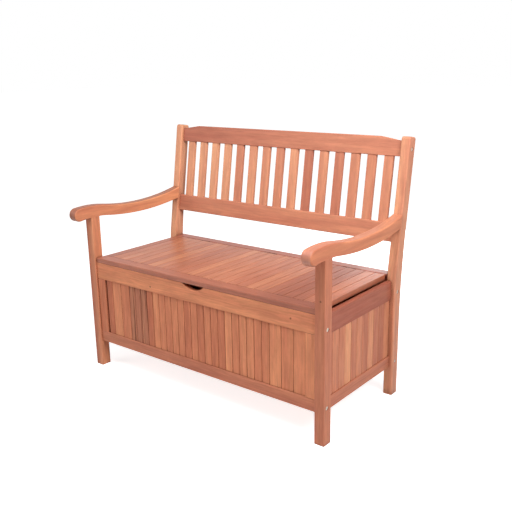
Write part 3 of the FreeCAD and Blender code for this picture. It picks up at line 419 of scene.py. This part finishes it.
def knotted(shader, colour, place, knot):
    """A small dark knot at one spot."""
    away = shader.add("ShaderNodeVectorMath", operation="DISTANCE")
    shader.feed(away.inputs[0], place)
    away.inputs[1].default_value = knot
    dark = shader.math("MULTIPLY", shader.spread(away.outputs["Value"], 0.0045, 0.0015), 0.8)
    return shader.mix(dark, colour, KNOT)


def painted_joint_shade(shader, colour, corner, luck):
    """Painted shade in joints and corners, stronger in some boards than in others."""
    shade = shader.add("ShaderNodeAmbientOcclusion", samples=4)
    shade.inputs["Distance"].default_value = corner
    clear = shader.spread(shade.outputs["AO"], 0.25, 0.75)
    strength = shader.math("MULTIPLY_ADD", luck, 0.5, 0.7)
    clear = shader.math("MULTIPLY_ADD", shader.math("SUBTRACT", clear, 1.0), strength, 1.0, clamp=True)
    return shader.mix(clear, shader.mix(1.0, colour, JOINT_SHADE, "MULTIPLY"), colour)


def finish(shader, figure, cut, gloss):
    """The oiled surface: rougher in the streaks and pores, with a fine relief."""
    rough = shader.math("MULTIPLY_ADD", figure.pores, 0.12, cut.rough)
    shader.feed(shader.surface.inputs["Roughness"], shader.math("MULTIPLY_ADD", figure.streak, 0.14, rough))
    shader.feed(shader.surface.inputs["Specular IOR Level"], gloss)
    relief = shader.math("SUBTRACT", shader.math("MULTIPLY", figure.fibre, 0.5), figure.pores)
    bump = shader.add("ShaderNodeBump")
    bump.inputs["Strength"].default_value = 0.3
    bump.inputs["Distance"].default_value = 0.0003
    shader.feed(bump.inputs["Height"], shader.math("MULTIPLY_ADD", figure.streak, -0.5, relief))
    shader.feed(shader.surface.inputs["Normal"], bump.outputs["Normal"])


def wood(node, axis, cut, depths, seed, boards=None, drift=None, tilt=0.0, corner=0.016, knots=()):
    """Oiled hardwood for a node whose grain runs along an axis.

    The tone drifts from the first depth to the second along an axis, which is the grain's unless another
    is given, or, with boards, each board has its own tone and figure. Corner is how far the painted shade
    reaches out of the joints, and knots are the places of small ones.
    """
    low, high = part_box(node)
    shader = Shader(node)
    source = shader.add("ShaderNodeTexCoord")
    place = source.outputs["Object"]
    if tilt:
        turn = shader.add("ShaderNodeMapping")
        shader.feed(turn.inputs["Vector"], place)
        turn.inputs["Rotation"].default_value = (tilt, 0, 0)
        place = turn.outputs["Vector"]
    position = shader.split(place)
    middles = [(near + far) / 2 for near, far in zip(low, high)]
    if boards:
        index = boards.index(shader, position[boards.axis])
        base, stain = boards.tone(shader, index, cut)
        key = shader.math("ADD", index, float(seed))
        middles[boards.axis] = boards.middle(shader, index)
    else:
        way = AXES[drift or axis]
        reach = shader.spread(position[way], low[way], high[way])
        base = shader.mix(reach, tone(depths[0], cut), tone(depths[1], cut))
        key = float(seed)

    grain = Grain(shader, position, AXES[axis], key, middles)
    figure = wood_figure(shader, grain)
    colour = figured(shader, base, figure, cut)
    if boards:
        colour = veined(shader, colour, grain, stain)
    colour = shader.scale(colour, shader.math("MULTIPLY_ADD", figure.fibre, 0.24, 0.88))
    normal = [shader.math("ABSOLUTE", item) for item in shader.split(source.outputs["Normal"])]
    colour = weathered(shader, colour, normal[AXES[axis]], figure.fleck)
    for knot in knots:
        colour = knotted(shader, colour, place, knot)
    # Painted shade in the joints and corners.
    colour = painted_joint_shade(shader, colour, corner, grain.luck[1])
    gloss = cut.gloss
    # Painted shade on the faces that do not face sideways (tops, ends and undersides), which also gain
    # gloss.
    if cut.handled:
        tops_and_ends = shader.spread(normal[0], 0.75, 0.35)
        colour = shader.tint(shader.math("MULTIPLY", tops_and_ends, cut.handled), colour, TOP_AND_END_SHADE)
        gloss = shader.math("MULTIPLY_ADD", tops_and_ends, 0.9 - 0.5 * cut.handled, cut.gloss)
    shader.feed(shader.surface.inputs["Base Color"], colour)
    finish(shader, figure, cut, gloss)
    return shader.material


DULL = linear(190, 178, 160)


def metal(name, colour, rough, wear):
    """Plated metal with small dull patches."""
    shader = Shader(name)
    place = shader.add("ShaderNodeTexCoord").outputs["Object"]
    scaled = shader.add("ShaderNodeVectorMath", operation="SCALE")
    shader.feed(scaled.inputs[0], place)
    scaled.inputs["Scale"].default_value = 260
    patches = shader.spread(shader.noise(scaled.outputs[0], 3.0), 0.35, 0.7)
    dulled = shader.tint(shader.math("MULTIPLY", patches, wear), colour, DULL)
    shader.feed(shader.surface.inputs["Base Color"], dulled)
    shader.feed(shader.surface.inputs["Roughness"], shader.math("MULTIPLY_ADD", patches, 0.2, rough))
    shader.surface.inputs["Metallic"].default_value = 1
    return shader.material


def dress(node, material):
    for slot in nodes[node].material_slots:
        slot.material = material


# Which wood each piece is cut from: grain axis, cut, and depth of tone at both ends of its drift.
PIECES = {
    "front_leg_left": ("z", FRAME, (6, 2)),
    "front_leg_right": ("z", FRAME, (5.2, 4.5)),
    "rear_post_left": ("z", BACK, (1, 0)),
    "rear_post_right": ("z", BACK, (0, 2.2)),
    "armrest_left": ("y", LEFT_ARM, (3, 0.8)),
    "armrest_right": ("y", RIGHT_ARM, (4.2, 2.7)),
    "front_top_rail": ("x", PANEL, (2, 2)),
    "front_bottom_rail": ("x", FRAME, (5.3, 5)),
    "front_stile_left": ("z", PANEL, (4, 4)),
    "front_stile_right": ("z", PANEL, (1.5, 1.5)),
    "rear_top_rail": ("x", PANEL, (3, 4)),
    "rear_bottom_rail": ("x", PANEL, (2, 3)),
    "rear_stile_left": ("z", PANEL, (3, 3)),
    "rear_stile_right": ("z", PANEL, (2, 3)),
    "end_top_rail_left": ("y", FRAME, (6, 6)),
    "end_top_rail_right": ("y", FRAME, (8.9, 8.4)),
    "end_bottom_rail_left": ("y", FRAME, (3, 4)),
    "end_bottom_rail_right": ("y", FRAME, (5, 5)),
    "rear_seat_board": ("x", REAR_SEAT, (8, 8)),
    "lid_front_board": ("x", SEAT, (7.3, 8.2)),
    "lid_batten_front": ("x", PANEL, (3, 3)),
    "lid_batten_middle": ("x", PANEL, (3, 2)),
    "lid_batten_rear": ("x", PANEL, (2, 3)),
    "floor_cleat_front": ("x", PANEL, (3, 3)),
    "floor_cleat_rear": ("x", PANEL, (3, 2)),
    "arm_dowels": ("z", FRAME, (0, 0)),
    "back_rail_dowels": ("x", FRAME, (0, 0)),
    "seat_board_dowels": ("z", FRAME, (0, 0)),
}

# What sets some pieces apart: the axis of the drift, how far the painted shade reaches out of the joints,
# and knots.
LEG_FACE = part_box("front_leg_right")[0].y
APRON_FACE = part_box("front_top_rail")[0].y
EXTRAS = {
    # The left leg's tone drift across it is painted light: its inner side is lighter than its outer side.
    "front_leg_left": {"drift": "x"},
    "front_leg_right": {"knots": [(0.534, LEG_FACE, 0.480)]},
    # Both rear posts take the painted shade further out of their corners, darkening the strip beside the
    # end panel.
    "rear_post_left": {"corner": 0.05},
    # The right post's tone drift across it is painted shade: its outer side is darker than its inner side.
    "rear_post_right": {"drift": "x", "corner": 0.05},
    "front_top_rail": {"knots": [(0.418, APRON_FACE, 0.400), (-0.215, APRON_FACE, 0.386)]},
}

# The backrest leans by the rake. Its rails have a depth of tone at each end, and each slat has one.
RAKE = math.radians(8.7)
# The top rail's tone lightens from left to right: painted light from the right side.
BACK_RAILS = {"back_top_rail": (6.4, 3.2), "back_lower_rail": (3.5, 2.5)}
BACK_SLATS = "100031231524232"

# Rows of boards: grain axis, axis of the row, cut, code of each board's tone, and the boards' shares of it.
NARROW_AND_WIDE = [1] + 2 * [1.5] + 21 * [1] + 3 * [1.5]
GROUPS = {
    "front_boards": ("z", "x", PANEL, "523efe523333435344132234232", NARROW_AND_WIDE),
    "end_boards_left": ("z", "y", FRAME, "43413352543", None),
    "end_boards_right": ("z", "y", FRAME, "54414352563", None),
    "rear_boards": ("z", "x", PANEL, "23243d35323123432313", None),
    # The deeper tones of lid slats 21 to 24, beside the right arm, are partly the wood's own and partly
    # painted shadow of the arm.
    "lid_slats": ("y", "x", SEAT, "85555646776465556655788766", None),
    "floor_boards": ("y", "x", PANEL, "3234323313", None),
}


def dress_wood():
    for seed, (node, (axis, cut, depths)) in enumerate(PIECES.items(), start=1):
        dress(node, wood(node, axis, cut, depths, seed, **EXTRAS.get(node, {})))
    for seed, (node, (axis, row, cut, tones, shares)) in enumerate(GROUPS.items(), start=3):
        dress(node, wood(node, axis, cut, None, 100 * seed, Boards(node, row, tones, shares)))
    for seed, (node, depths) in enumerate(BACK_RAILS.items(), start=51):
        dress(node, wood(node, "x", BACK, depths, seed, tilt=RAKE))
    for number, code in enumerate(BACK_SLATS, start=1):
        node = f"back_slat_{number:02d}"
        dress(node, wood(node, "z", BACK, 2 * [int(code)], 60 + number, tilt=RAKE))


def dress_metal():
    bright = metal("bright_zinc", linear(236, 233, 224), 0.36, 0.3)
    bronze = metal("bronzed_steel", linear(104, 74, 58), 0.42, 0.8)
    for node in ("frame_bolts", "barrel_nuts"):
        dress(node, bright)
    for piece in ("leaves_fixed", "leaves_lid", "pins", "screws_fixed", "screws_lid"):
        dress(f"hinge_{piece}", bronze)


add_camera()
add_world(ambient=0.04)
add_floor()
add_area_light("top", (0.25, -1.0, 2.45), size=1.4, power=34)
add_area_light("right", (1.9, -0.5, 1.95), size=1.2, power=42)
add_area_light("left", (-1.8, -1.8, 1.6), size=1.5, power=16)
add_area_light("back", (-0.3, 2.6, 0.7), size=1.5, power=16)
dress_wood()
dress_metal()

scene.view_settings.view_transform = "Standard"
